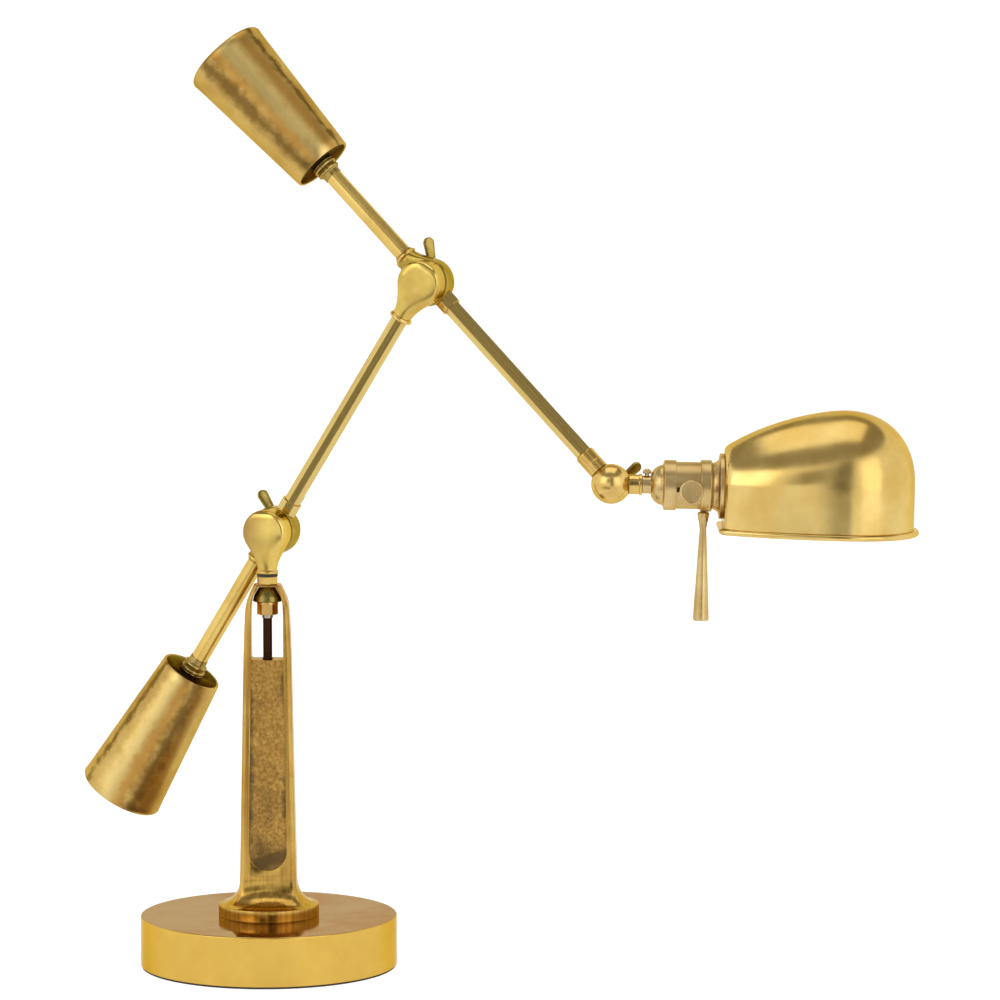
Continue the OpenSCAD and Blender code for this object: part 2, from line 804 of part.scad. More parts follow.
module lower_wing_nut() {
    color([0.55, 0.44, 0.20]) at_arm() translate([0, plane_gap + 8.4, pivot_z]) along_y()
        rotate([0, 0, -91]) wing_nut(32.5, 31, stud_r);
}

module upper_wing_nut() {
    color([0.60, 0.48, 0.22]) at_arm() translate([joint2_x, 2 * plane_gap + 8.4, joint2_z]) along_y()
        rotate([0, 0, -127]) wing_nut(32.5, 27, stud_r);
}

module head_wing_nut() {
    color([0.60, 0.48, 0.22]) at_head() translate([0, drum_back + 0.4, 0]) along_y()
        rotate([0, 0, -88.5]) wing_nut(29, 46.5, head_stud_r);
}

module socket_thumb_screw() {
    color([0.72, 0.60, 0.34]) at_level() translate([screw_x, 0, 4]) turned([
        [0, 0], [1.5, 0], [1.5, 4.0], [2.8, 4.2], [3.3, 5.2], [2.6, 6.6], [1.2, 7.5], [0, 7.5]]);
}

module switch_knob() {
    color([0.74, 0.62, 0.38]) at_level() translate([knob_x, -15.2, knob_z]) rotate([90, 0, 0]) turned([
        [0, 0], [2, 0], [2, 8.2], [8.2, 8.4], [8.7, 8.9], [8.7, 10.4], [8.2, 10.9], [7.6, 10.6], [0, 10.6]]);
}

base_shell();
base_weight();
base_felt();
pillar();
pillar_nipple();
pillar_nut();
cord_gland();
inner_cord();
swivel_knuckle();
swivel_stem();
stem_washer();
swivel_hex_nut();
swivel_cup_washer();
swivel_lock_nut();
cord_bush();
lower_pivot_stud();
lower_drum();
lower_friction_washer();
lower_boom_collar();
lower_boom_tube();
lower_boom_wire();
lower_weight_rod();
lower_rod_ferrule();
lower_weight_ferrule();
lower_weight_shell();
lower_weight_core();
lower_weight_cap();
upper_knuckle();
upper_pivot_stud();
upper_drum();
upper_friction_washer();
upper_boom_collar();
upper_boom_tube();
upper_boom_wire();
upper_weight_rod();
upper_rod_ferrule();
upper_weight_ferrule();
upper_weight_shell();
upper_weight_core();
upper_weight_cap();
boom_end_sleeve();
head_knuckle();
head_pivot_stud();
head_drum();
head_friction_washer();
socket_cap();
socket_shell();
socket_liner();
socket_screw_shell();
bulb_base();
bulb_glass();
shade_holder();
shade();
handle();
lower_wing_nut();
upper_wing_nut();
head_wing_nut();
socket_thumb_screw();
switch_knob();
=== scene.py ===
"""Looks for the swing arm desk lamp: aged brass, softly lit, on a plain pale sweep."""
import json
import math

import bmesh
import bpy
from mathutils import Matrix, Vector


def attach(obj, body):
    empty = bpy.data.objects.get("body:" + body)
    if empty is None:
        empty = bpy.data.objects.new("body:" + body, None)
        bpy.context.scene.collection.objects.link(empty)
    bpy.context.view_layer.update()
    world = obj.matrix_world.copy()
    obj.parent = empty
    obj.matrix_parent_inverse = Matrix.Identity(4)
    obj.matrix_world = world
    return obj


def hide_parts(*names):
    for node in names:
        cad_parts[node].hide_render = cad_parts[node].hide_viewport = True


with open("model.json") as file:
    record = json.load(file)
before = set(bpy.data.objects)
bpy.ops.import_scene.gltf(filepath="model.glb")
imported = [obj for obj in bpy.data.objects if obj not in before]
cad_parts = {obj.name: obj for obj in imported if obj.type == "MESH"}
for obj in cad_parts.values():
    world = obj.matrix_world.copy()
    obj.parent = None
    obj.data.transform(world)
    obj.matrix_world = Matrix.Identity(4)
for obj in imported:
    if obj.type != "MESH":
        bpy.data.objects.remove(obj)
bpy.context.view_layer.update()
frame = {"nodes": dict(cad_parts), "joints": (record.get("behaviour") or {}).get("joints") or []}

MM = 0.001
joints = {j["name"]: j for j in frame["joints"]}


# ---- Frames of the arms, from the joints ----

def place(origin, x_axis, y_axis):
    """A frame with its x along x_axis and its y as close to y_axis as it can be."""
    x = Vector(x_axis).normalized()
    z = x.cross(Vector(y_axis)).normalized()
    y = z.cross(x)
    m = Matrix((x, y, z)).transposed().to_4x4()
    m.translation = Vector(origin)
    return m


def joint_point(name):
    return Vector(joints[name]["pos_m"])


def joint_axis(name):
    return Vector(joints[name]["axis"])


UP = Vector((0, 0, 1))
arm_y = joint_axis("lower_boom_tilt")
lower_pivot = joint_point("lower_boom_tilt")
upper_pivot = joint_point("upper_boom_tilt")
ball = joint_point("head_roll")
along = upper_pivot - lower_pivot
along -= arm_y * along.dot(arm_y)
swivel_centre = Vector((0, 0, lower_pivot.z))
plane_gap = (lower_pivot - swivel_centre).length

WORLD = Matrix.Identity(4)
SWIVEL = place(swivel_centre, arm_y.cross(UP), arm_y)
LOWER = place(lower_pivot, along, arm_y)
UPPER_PEAR = place(upper_pivot - arm_y * plane_gap, along, arm_y)
UPPER = place(upper_pivot, joint_axis("head_roll"), arm_y)
MOUNT = place(ball, joint_axis("head_roll"), joint_axis("head_tilt"))
HEAD = place(ball, joint_axis("shade_turn"), joint_axis("head_tilt"))
LEVEL = place(ball, joint_axis("shade_turn"), UP.cross(joint_axis("shade_turn")))


# ---- Materials ----

class Nodes:
    """A short way to write a node tree whose textures lie in a local frame."""

    def __init__(self, name, local=WORLD):
        self.mat = bpy.data.materials.new(name)
        self.mat.use_nodes = True
        self.tree = self.mat.node_tree
        self.tree.nodes.clear()
        self.out = self.add("ShaderNodeOutputMaterial")
        self.bsdf = self.add("ShaderNodeBsdfPrincipled")
        self.link(self.bsdf.outputs[0], self.out.inputs[0])
        coords = self.add("ShaderNodeTexCoord")
        turn = self.add("ShaderNodeMapping")
        turn.vector_type = "TEXTURE"
        turn.inputs["Location"].default_value = local.translation
        turn.inputs["Rotation"].default_value = local.to_euler()
        self.link(coords.outputs["Object"], turn.inputs["Vector"])
        self.place = turn.outputs[0]

    def add(self, kind, **settings):
        node = self.tree.nodes.new(kind)
        for key, value in settings.items():
            setattr(node, key, value)
        return node

    def link(self, a, b):
        self.tree.links.new(a, b)

    def xyz(self):
        """The x, y and z of the place being shaded, in the local frame and in metres."""
        node = self.add("ShaderNodeSeparateXYZ")
        self.link(self.place, node.inputs[0])
        return node.outputs[0], node.outputs[1], node.outputs[2]

    def scaled(self, scale):
        node = self.add("ShaderNodeMapping")
        node.inputs["Scale"].default_value = scale
        self.link(self.place, node.inputs["Vector"])
        return node.outputs[0]

    def noise(self, scale, detail=4.0, rough=0.55, warp=0.0, vector=None):
        node = self.add("ShaderNodeTexNoise")
        node.inputs["Scale"].default_value = scale
        node.inputs["Detail"].default_value = detail
        node.inputs["Roughness"].default_value = rough
        node.inputs["Distortion"].default_value = warp
        self.link(vector or self.place, node.inputs["Vector"])
        return node.outputs[0]

    def ramp(self, value, low, high, dark=0.0, light=1.0):
        node = self.add("ShaderNodeMapRange", clamp=True, interpolation_type="SMOOTHSTEP")
        for key, number in (("From Min", low), ("From Max", high), ("To Min", dark), ("To Max", light)):
            node.inputs[key].default_value = number
        self.link(value, node.inputs["Value"])
        return node.outputs[0]

    def math(self, how, a, b):
        node = self.add("ShaderNodeMath", operation=how)
        for socket, value in zip(node.inputs, (a, b)):
            if isinstance(value, (int, float)):
                socket.default_value = value
            else:
                self.link(value, socket)
        return node.outputs[0]

    def mix(self, factor, a, b):
        node = self.add("ShaderNodeMix", data_type="RGBA")
        for socket, value in ((node.inputs[0], factor), (node.inputs[6], a), (node.inputs[7], b)):
            if isinstance(value, (int, float)):
                socket.default_value = value
            elif isinstance(value, tuple):
                socket.default_value = (*value, 1)
            else:
                self.link(value, socket)
        return node.outputs[2]

    def bump(self, height, strength, distance, round_edges=0.0):
        node = self.add("ShaderNodeBump")
        node.inputs["Strength"].default_value = strength
        node.inputs["Distance"].default_value = distance
        self.link(height, node.inputs["Height"])
        if round_edges:
            bevel = self.add("ShaderNodeBevel", samples=4)
            bevel.inputs["Radius"].default_value = round_edges
            self.link(bevel.outputs[0], node.inputs["Normal"])
        self.link(node.outputs[0], self.bsdf.inputs["Normal"])

    def set(self, **values):
        for key, value in values.items():
            socket = self.bsdf.inputs[key.replace("_", " ")]
            if isinstance(value, tuple):
                socket.default_value = (*value, 1)
            elif isinstance(value, (int, float)):
                socket.default_value = value
            else:
                self.link(value, socket)


GOLD = (0.60, 0.38, 0.095)
PALE = (0.74, 0.53, 0.18)
BROWN = (0.34, 0.17, 0.038)
EDGE_TINT = (0.80, 0.64, 0.36)   # reflection at a glancing angle
BUMP_DEPTH = 0.3 * MM
EDGE_ROUND = 0.6 * MM
made = {}                        # brass materials by finish and frame


def brass(finish, local_name="world"):
    """Aged brass. finish says how it was worked; local_name is the frame its marks follow."""
    key = f"{finish}.{local_name}"
    if key in made:
        return made[key]
    look = BRASS[finish]
    n = Nodes("brass." + key, LOCAL[local_name])
    cloud = n.noise(look["cloud"], 5, 0.6, 0.6)
    spots = n.noise(look["cloud"] * 6, 4, 0.65)
    lines = n.noise(1.0, 3, 0.6, 0.0, n.scaled(look["brush"]))
    grain = n.noise(900, 2, 0.5)
    darkening = n.ramp(n.math("ADD", n.math("MULTIPLY", cloud, 0.75), n.math("MULTIPLY", spots, 0.25)),
                 0.42, 0.68, 0.0, look["patina"])
    clean = n.mix(n.ramp(lines, 0.3, 0.7), look.get("gold", GOLD), look.get("pale", PALE))
    colour = n.mix(darkening, clean, look.get("stain", BROWN))
    x, y, z = n.xyz()
    # Painted shade: the colour darkens towards one side along local x, as if that side were turned from the
    # light
    if "side_shade" in look:
        low, high, dull = look["side_shade"]
        ragged = n.math("ADD", x, n.math("MULTIPLY", cloud, 0.01))
        colour = n.mix(n.ramp(ragged, low, high, 1.0, 0.0), colour, dull)
    # Painted reflections: stripes of colour at fixed angles round the piece's x axis
    for middle, reach, tint in PAINTED_REFLECTION_BANDS.get(key, ()):
        around = n.math("ARCTAN2", z, n.math("MULTIPLY", y, -1.0))
        away = n.math("ABSOLUTE", n.math("SUBTRACT", around, math.radians(middle)), 0.0)
        away = n.math("ADD", away, n.math("MULTIPLY", n.math("SUBTRACT", spots, 0.5), 0.6))
        colour = n.mix(n.ramp(away, 0.0, math.radians(reach), 0.85, 0.0), colour, tint)
    rough = n.math("ADD", n.ramp(cloud, 0.35, 0.7, look["rough"][0], look["rough"][1]),
                   n.ramp(lines, 0.3, 0.7, -0.02, 0.02))
    n.set(Base_Color=colour, Metallic=1.0, Roughness=rough,
          Specular_Tint=look.get("edge_tint", EDGE_TINT))
    fine = n.math("ADD", n.math("MULTIPLY", grain, 0.08), n.math("MULTIPLY", spots, look["cast"]))
    height = n.math("ADD", n.math("MULTIPLY", lines, look["lines"]), fine)
    n.bump(height, look.get("depth", 0.10), BUMP_DEPTH, EDGE_ROUND)
    made[key] = n.mat
    return n.mat


LOCAL = {"world": WORLD, "swivel": SWIVEL, "lower": LOWER, "upper": UPPER, "mount": MOUNT,
         "head": HEAD, "level": LEVEL}
# How a surface was rubbed: the scale of its marks along x, y and z
GRAIN_X = (12, 900, 900)
SMOOTH = (30, 30, 30)
UPRIGHT = (420, 420, 7)
# Painted reflections: darker and paler stripes along a weight, where its cone would mirror dark and bright
# parts of the room. Angle round x and reach in degrees, and colour. Each later stripe lies over the earlier
# ones.
PAINTED_DARK = (0.15, 0.080, 0.018)
PAINTED_BROWN = (0.44, 0.23, 0.05)
PAINTED_PALE = (0.68, 0.51, 0.19)
PAINTED_REFLECTION_BANDS = {
    "weight.upper": ((72, 9, PAINTED_DARK), (53, 15, PAINTED_BROWN), (28, 22, PAINTED_PALE), (8, 15, PAINTED_BROWN), (-10, 22, PAINTED_DARK)),
    "weight.lower": ((42, 10, PAINTED_DARK), (2, 26, PAINTED_PALE), (-20, 16, PAINTED_BROWN), (-40, 20, PAINTED_DARK)),
}
# Each finish: noise scale of its clouds, direction of its marks, roughness from and to, how much patina lies
# on it, how deep its marks and its cast skin are, and its own colours where it has them
BRASS = {
    "turned": dict(cloud=22, brush=SMOOTH, rough=(0.20, 0.30), patina=0.45, lines=0.1, cast=0.1),
    "tube": dict(cloud=14, brush=GRAIN_X, rough=(0.10, 0.16), patina=0.15, lines=0.03, cast=0.02,
                 gold=(0.60, 0.43, 0.14), pale=(0.68, 0.52, 0.18), depth=0.04),
    "rod": dict(cloud=18, brush=SMOOTH, rough=(0.22, 0.30), patina=0.2, lines=0.05, cast=0.05,
                gold=(0.66, 0.45, 0.12), pale=(0.74, 0.54, 0.17)),
    # the swivel pear's brass, with a painted shade on one side
    "knuckle": dict(cloud=26, brush=SMOOTH, rough=(0.16, 0.26), patina=0.30, lines=0.05, cast=0.08,
                    gold=(0.64, 0.44, 0.10), pale=(0.74, 0.55, 0.15),
                    side_shade=(-0.013, 0.011, (0.36, 0.22, 0.065))),
    "face": dict(cloud=26, brush=SMOOTH, rough=(0.16, 0.26), patina=0.35, lines=0.05, cast=0.08,
                 gold=(0.56, 0.40, 0.09), pale=(0.70, 0.52, 0.14)),
    "plain": dict(cloud=30, brush=SMOOTH, rough=(0.16, 0.26), patina=0.40, lines=0.05, cast=0.1),
    # Painted shade: the rear pears are the same brass as the front ones, drawn much darker where they sit
    # behind
    "shaded_rear": dict(cloud=30, brush=SMOOTH, rough=(0.20, 0.30), patina=0.5, lines=0.05, cast=0.15,
                 gold=(0.34, 0.24, 0.045), pale=(0.46, 0.34, 0.075), stain=(0.18, 0.10, 0.02)),
    "weight": dict(cloud=17, brush=SMOOTH, rough=(0.30, 0.40), patina=0.55, lines=0.1, cast=0.4,
                   gold=(0.52, 0.34, 0.09), pale=(0.60, 0.42, 0.13), stain=(0.34, 0.18, 0.045)),
    "shade": dict(cloud=9, brush=SMOOTH, rough=(0.17, 0.23), patina=0.22, lines=0.03, cast=0.03,
                  gold=(0.62, 0.42, 0.12), pale=(0.72, 0.53, 0.19), stain=(0.42, 0.25, 0.06), depth=0.05),
    "satin": dict(cloud=26, brush=SMOOTH, rough=(0.26, 0.36), patina=0.35, lines=0.1, cast=0.1,
                  gold=(0.52, 0.36, 0.14), pale=(0.64, 0.48, 0.22)),
    "polished": dict(cloud=16, brush=SMOOTH, rough=(0.05, 0.12), patina=0.8, lines=0.02, cast=0.05,
                     gold=(0.54, 0.40, 0.22), pale=(0.58, 0.44, 0.25), stain=(0.48, 0.20, 0.06), depth=0.04,
                     edge_tint=(0.60, 0.48, 0.33)),
    "rim": dict(cloud=9, brush=SMOOTH, rough=(0.16, 0.24), patina=0.30, lines=0.03, cast=0.05,
                gold=(0.62, 0.39, 0.075), pale=(0.68, 0.44, 0.09), stain=(0.50, 0.29, 0.055), depth=0.05),
    "frame": dict(cloud=16, brush=UPRIGHT, rough=(0.16, 0.28), patina=0.55, lines=0.08, cast=0.08,
                  gold=(0.43, 0.25, 0.052), pale=(0.62, 0.39, 0.095), stain=(0.28, 0.13, 0.026), depth=0.06),
    "wing": dict(cloud=45, brush=SMOOTH, rough=(0.18, 0.28), patina=0.55, lines=0.05, cast=0.15,
                 gold=(0.30, 0.21, 0.045), pale=(0.42, 0.31, 0.08), stain=(0.12, 0.075, 0.015)),
    "end": dict(cloud=34, brush=SMOOTH, rough=(0.24, 0.34), patina=0.7, lines=0.1, cast=0.3,
                gold=(0.17, 0.12, 0.03), pale=(0.30, 0.23, 0.07), stain=(0.07, 0.04, 0.01),
                edge_tint=(0.20, 0.16, 0.09)),
    "old_ring": dict(cloud=50, brush=SMOOTH, rough=(0.20, 0.30), patina=0.7, lines=0.1, cast=0.2,
                     gold=(0.30, 0.20, 0.05), pale=(0.52, 0.38, 0.13), stain=(0.08, 0.045, 0.012)),
    "dark": dict(cloud=30, brush=SMOOTH, rough=(0.22, 0.32), patina=0.5, lines=0.1, cast=0.2,
                 gold=(0.22, 0.165, 0.035), pale=(0.32, 0.25, 0.065), stain=(0.10, 0.07, 0.016)),
    "copper": dict(cloud=40, brush=SMOOTH, rough=(0.18, 0.28), patina=0.4, lines=0.05, cast=0.15,
                   gold=(0.60, 0.34, 0.09), pale=(0.76, 0.50, 0.18)),
}


def plain(name, colour, dark, rough, metallic=0.0, scale=300.0, depth=0.2):
    """Anything that isn't brass: two close colours, a grain and a matching bump."""
    n = Nodes(name)
    grain = n.noise(scale, 4, 0.6)
    cloud = n.noise(scale * 0.08, 3, 0.5)
    both = n.math("ADD", n.math("MULTIPLY", grain, 0.5), n.math("MULTIPLY", cloud, 0.5))
    mixed = n.mix(n.ramp(both, 0.35, 0.65), dark, colour)
    n.set(Base_Color=mixed, Metallic=metallic,
          Roughness=n.ramp(grain, 0.3, 0.7, rough - 0.06, rough + 0.08))
    n.bump(grain, depth, BUMP_DEPTH, EDGE_ROUND / 2)
    return n.mat


def braid_material():
    """Woven cloth over the inner cord: crossed diagonal ribs."""
    n = Nodes("cord.braid")
    x, y, z = n.xyz()
    angle = n.math("ARCTAN2", y, x)
    ribs = []
    for hand in (1, -1):
        turn = n.math("ADD", n.math("MULTIPLY", angle, 8.0 * hand), n.math("MULTIPLY", z, 2600.0))
        ribs.append(n.math("ABSOLUTE", n.math("SINE", turn, 0.0), 0.0))
    weave = n.math("MAXIMUM", ribs[0], ribs[1])
    fuzz = n.noise(2500, 3, 0.6)
    colour = n.mix(n.ramp(weave, 0.3, 1.0), (0.010, 0.003, 0.001), (0.050, 0.016, 0.004))
    n.set(Base_Color=colour, Roughness=n.ramp(fuzz, 0.3, 0.7, 0.7, 0.9), Specular_IOR_Level=0.15)
    n.bump(n.math("ADD", weave, n.math("MULTIPLY", fuzz, 0.3)), 0.6, 0.4 * MM)
    return n.mat


def bulb_material():
    """White frosted glass, faintly clouded."""
    n = Nodes("bulb.frosted")
    cloud = n.noise(60, 2, 0.5)
    colour = n.mix(n.ramp(cloud, 0.3, 0.7), (0.86, 0.85, 0.80), (0.95, 0.94, 0.90))
    n.set(Base_Color=colour, Roughness=n.ramp(cloud, 0.3, 0.7, 0.28, 0.36),
          Subsurface_Weight=0.4, IOR=1.5)
    n.bump(n.noise(1500, 2, 0.5), 0.05, 0.1 * MM)
    return n.mat


# ---- Mesh helpers ----

def mesh_object(name, bm):
    """An object in the scene with bm as its mesh. bm is used up."""
    mesh = bpy.data.meshes.new(name)
    bm.to_mesh(mesh)
    bm.free()
    obj = bpy.data.objects.new(name, mesh)
    bpy.context.scene.collection.objects.link(obj)
    return obj


def smooth(mesh, sharp=None):
    """Smooth shading, except at edges that turn by more than sharp degrees."""
    for polygon in mesh.polygons:
        polygon.use_smooth = True
    if sharp is not None:
        mesh.set_sharp_from_angle(angle=math.radians(sharp))


def finish_mesh(name, bm, local, body, material, node=None, sharp=40):
    """A mesh from bm, placed in a local frame, riding on a body and standing for a CAD node."""
    bmesh.ops.recalc_face_normals(bm, faces=bm.faces)
    obj = mesh_object(name, bm)
    obj.data.transform(local)
    smooth(obj.data, sharp)
    obj.data.materials.append(material)
    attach(obj, body)
    if node:
        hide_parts(node)
    return obj


def skin(bm, rings, closed_ends=True):
    """Joins rings of points, each a closed loop with the same count, with quads."""
    rows = [[bm.verts.new(p) for p in ring] for ring in rings]
    for a, b in zip(rows, rows[1:]):
        for i in range(len(a)):
            k = (i + 1) % len(a)
            bm.faces.new((a[i], a[k], b[k], b[i]))
    if closed_ends:
        bm.faces.new(rows[0])
        bm.faces.new(rows[-1][::-1])
    return rows


def lathe(bm, profile, axis="x", segments=96):
    """Turns [(radius, distance), ...] about an axis. Both ends are closed."""
    order = {"x": (2, 0, 1), "y": (1, 2, 0), "z": (0, 1, 2)}[axis]
    rings = []
    for r, distance in profile:
        ring = []
        for i in range(segments):
            a = 2 * math.pi * i / segments
            p = (r * math.cos(a), r * math.sin(a), distance)
            ring.append([p[k] for k in order])
        rings.append(ring)
    skin(bm, rings)


def arc(cx, cy, r, start, end, n=8):
    """Points along an arc, from one angle in degrees to another."""
    steps = [math.radians(start + (end - start) * i / n) for i in range(n + 1)]
    return [(cx + r * math.cos(t), cy + r * math.sin(t)) for t in steps]


def power(value, exponent):
    """A power that keeps the sign, for rounded squares."""
    return math.copysign(abs(value) ** exponent, value)


def smooth_cad(node, material):
    """A CAD node keeps its mesh and takes a material and smooth shading."""
    obj = frame["nodes"][node]
    smooth(obj.data, 32)
    obj.data.materials.clear()
    obj.data.materials.append(material)


def paint(obj, material, chosen):
    """Gives the faces that chosen(centre in mm, normal) picks a second material."""
    obj.data.materials.append(material)
    for face in obj.data.polygons:
        if chosen(face.center / MM, face.normal):
            face.material_index = len(obj.data.materials) - 1


# ---- Pear castings ----

PEAR_R = 17.0 * MM
REAR_PEAR_R = 17.7 * MM
UPPER_PEAR_R = 16.7 * MM
NECK_R = 7.1 * MM
NECK_AT = 28.5 * MM
FACE_Y = 7.6 * MM        # from the mid plane to the flat face
DOME_Y = 9.2 * MM        # and to the top of the domed face
LEAVE = 0.52             # where the outline leaves the circle, as a part of its radius
FLAT_POWER = 9           # how square the flat face's corners are
DOME_POWER = 5.5         # and the domed face's
ROUND_POWER = 2          # at the neck both are round
PEAR_POINTS = 72


def pear_half_width(w, r):
    """Half the pear's width at w along its axis: a circle that flows into the neck at -NECK_AT."""
    leave = LEAVE * r
    if w >= -leave:
        return math.sqrt(max(r * r - w * w, 0))
    start = math.sqrt(r * r - leave * leave)
    span = NECK_AT - leave
    t = (-leave - w) / span
    slope = leave / start * span
    from_start = 2 * t ** 3 - 3 * t ** 2 + 1
    from_slope = t ** 3 - 2 * t ** 2 + t
    from_neck = 3 * t ** 2 - 2 * t ** 3
    return from_start * start - from_slope * slope + from_neck * NECK_R


def pear(name, local, toward, side, body, node, finish, frame_name, r=PEAR_R):
    """A pear casting. toward is its neck's local direction; side is +1 if its flat face is at +y."""
    bm = bmesh.new()
    leave = LEAVE * r
    stations = [r * math.cos(math.radians(a)) for a in range(3, 90, 4)]
    stations += [-leave * i / 8 for i in range(8)]
    stations += [-leave - (NECK_AT - leave) * i / 14 for i in range(15)]
    rings = []
    for w in stations:
        half = pear_half_width(w, r)
        low = max(-w, 0) / NECK_AT
        ease = low * low * (3 - 2 * low)
        if w > 0:
            dome = DOME_Y * (1 - (w / r) ** 8) ** 0.35
        else:
            dome = DOME_Y + (NECK_R - DOME_Y) * ease
        face = FACE_Y + (NECK_R - FACE_Y) * ease
        flat_power = FLAT_POWER + (ROUND_POWER - FLAT_POWER) * ease
        dome_power = DOME_POWER + (ROUND_POWER - DOME_POWER) * ease
        ring = []
        for i in range(PEAR_POINTS):
            t = 2 * math.pi * (i + 0.5) / PEAR_POINTS
            c, s = math.cos(t), math.sin(t)
            reach, bend = (face, flat_power) if s > 0 else (dome, dome_power)
            ring.append((half * power(c, 2 / bend), side * reach * power(s, 2 / bend), w))
        rings.append(ring)
    skin(bm, rings)
    turn = Vector((0, 0, -1)).rotation_difference(Vector(toward)).to_matrix().to_4x4()
    finish_mesh(name, bm, local @ turn, body, brass(finish, frame_name), node, sharp=50)


DOWN = (0, 0, -1)
BACK = (-1, 0, 0)
pear("swivel_pear", SWIVEL, DOWN, 1, "swivel", "swivel_knuckle", "knuckle", "swivel")
pear("lower_rear_pear", LOWER, BACK, -1, "lower_boom", "lower_drum", "shaded_rear", "lower", REAR_PEAR_R)
pear("upper_pear", UPPER_PEAR, BACK, 1, "lower_boom", "upper_knuckle", "face", "lower", UPPER_PEAR_R)
pear("upper_rear_pear", UPPER, BACK, -1, "upper_boom", "upper_drum", "shaded_rear", "upper", REAR_PEAR_R)

RING_BEAD = 1.5 * MM


def neck_ring(name, local, body, frame_name, at, r, toward="x"):
    """The rounded ring where a pear's neck ends."""
    bm = bmesh.new()
    profile = [(NECK_R, at + 3.4 * MM), (r - 0.9 * MM, at + 3.1 * MM)]
    profile += [(y, x) for x, y in arc(at + RING_BEAD, r - RING_BEAD, RING_BEAD, 60, 150)]
    profile += [(r - 1.0 * MM, at), (NECK_R - 2 * MM, at)]
    lathe(bm, profile, toward)
    finish_mesh(name, bm, local, body, brass("turned", frame_name))


neck_ring("swivel_neck_ring", SWIVEL, "swivel", "swivel", -31.0 * MM, 8.1 * MM, "z")
neck_ring("upper_neck_ring", UPPER_PEAR, "lower_boom", "lower", -31.5 * MM, 8.7 * MM)


# ---- Shade ----

WALL_X = 81.7 * MM
RIM_Z = -32.6 * MM
SHADE_LEN = 138.5 * MM
SHADE_H = 89.5 * MM
SHADE_HALF = 51.0 * MM
FRONT_REACH = 52.8 * MM
BACK_REACH = 108.0 * MM
SKIRT = 35.5 * MM
APEX = SHADE_LEN - FRONT_REACH     # from the back wall to the shade's highest point
SHEET = 1.2 * MM
BEAD = 2.2 * MM                    # the rolled rim
NOSE_POWER = 2.15                  # how square the plan is at the nose, where 2 is an ellipse
BACK_POWER = 1.75
WALL_CORNER = 3.0 * MM
SHADE_POINTS = 192
SHADE_LEVELS = 44


def plan_radius(a, grow):
    """The plan outline's distance from the apex at angle a."""
    forward = math.cos(a) > 0
    rx = (FRONT_REACH if forward else BACK_REACH) + grow
    n = NOSE_POWER if forward else BACK_POWER
    ry = SHADE_HALF + grow
    return ((abs(math.cos(a)) / rx) ** n + (abs(math.sin(a)) / ry) ** n) ** (-1 / n)


def cut(a, r, grow):
    """Brings the radius in to the flat back wall, with a rounded corner."""
    if math.cos(a) > -0.05:
        return r
    wall = (APEX + grow) / -math.cos(a)
    near = max(WALL_CORNER - abs(r - wall), 0) / WALL_CORNER
    return min(r, wall) - near * near * WALL_CORNER * 0.25


def shade_ring(grow, rise, z):
    """One level of the shade, fuller at the nose. rise goes from 0 on the skirt to 1 at the top."""
    ring = []
    for i in range(SHADE_POINTS):
        a = 2 * math.pi * (i + 0.5) / SHADE_POINTS
        m = 1.92 + 0.33 * math.cos(a)
        r = cut(a, plan_radius(a, grow) * (1 - rise ** m) ** (1 / m), grow)
        ring.append((WALL_X + APEX + r * math.cos(a), r * math.sin(a), RIM_Z + z))
    return ring


def make_shade():
    """The shade's dome and skirt as one sheet, inside and out, joined by the rolled rim."""
    bm = bmesh.new()
    rise = SHADE_H - SKIRT
    heights = [2 * BEAD + (SKIRT - 2 * BEAD) * i / 6 for i in range(6)]
    outer = [shade_ring(0, 0, z) for z in heights]
    inner = [shade_ring(-SHEET, 0, z) for z in heights]
    for j in range(SHADE_LEVELS):
        up = math.sin(math.radians(89.0) * j / (SHADE_LEVELS - 1))
        outer.append(shade_ring(0, up, SKIRT + rise * up))
        inner.append(shade_ring(-SHEET, up, SKIRT + (rise - SHEET) * up))
    roll = []
    for k in range(11):
        t = math.radians(100 - 30 * k)
        roll.append(shade_ring(BEAD * (0.75 + math.cos(t)), 0, BEAD * (1 + math.sin(t))))
    skin(bm, inner[::-1] + roll[::-1] + outer)
    finish_mesh("shade_shell", bm, LEVEL, "shade_group", brass("shade", "level"), "shade",
                60)


make_shade()


# ---- Pillar, in millimetres ----

BASE_TOP = 38.0
FLANGE_R = 37.2
FLANGE_TOP = 46.4
FLARE_R = FLANGE_R - 0.5       # where the flare meets the flange
# The shaft's height, half width and half thickness, from the foot to the rounded crown
FOOT = (67.0, 20.7, 14.5)
SHOULDER = (229.0, 17.5, 12.5)
SHAFT = (FOOT, (120.0, 19.65, 13.85), (175.0, 18.55, 13.17), SHOULDER, (246.0, 17.0, 12.35),
         (256.0, 16.55, 12.2), (262.0, 16.3, 12.1), (267.0, 15.95, 12.0), (271.0, 15.3, 11.65),
         (274.0, 14.5, 11.35), (277.0, 13.3, 11.0), (280.0, 12.0, 10.5), (282.5, 10.9, 9.9),
         (284.0, 10.0, 9.5), (284.5, 9.3, 9.1))
TAPER = (FOOT[2] - SHOULDER[2]) / (SHOULDER[0] - FOOT[0])
FLARE_STEPS = 22
BEVEL = 2.5
FRONT_FACET = math.radians(46)   # half the angle that the front face takes up in the flange's circle
SIDE_FACET = math.radians(39)
RECESS_T = 2.8
PANEL_R = 14.0
PANEL_FOOT = 87.0
PANEL_SIDE = ((11.9, 229), (11.9, 260), (6, 275.5))
WINDOW_SIDE = ((10.75, 229), (11.75, 230), (11.75, 262), (11.5, 270), (10.45, 276), (6.1, 283.3))
CROWN_BORE = 4.2
CORD_BORE = 4.6
THROUGH = 30.0                   # half the length of a cut that goes right through


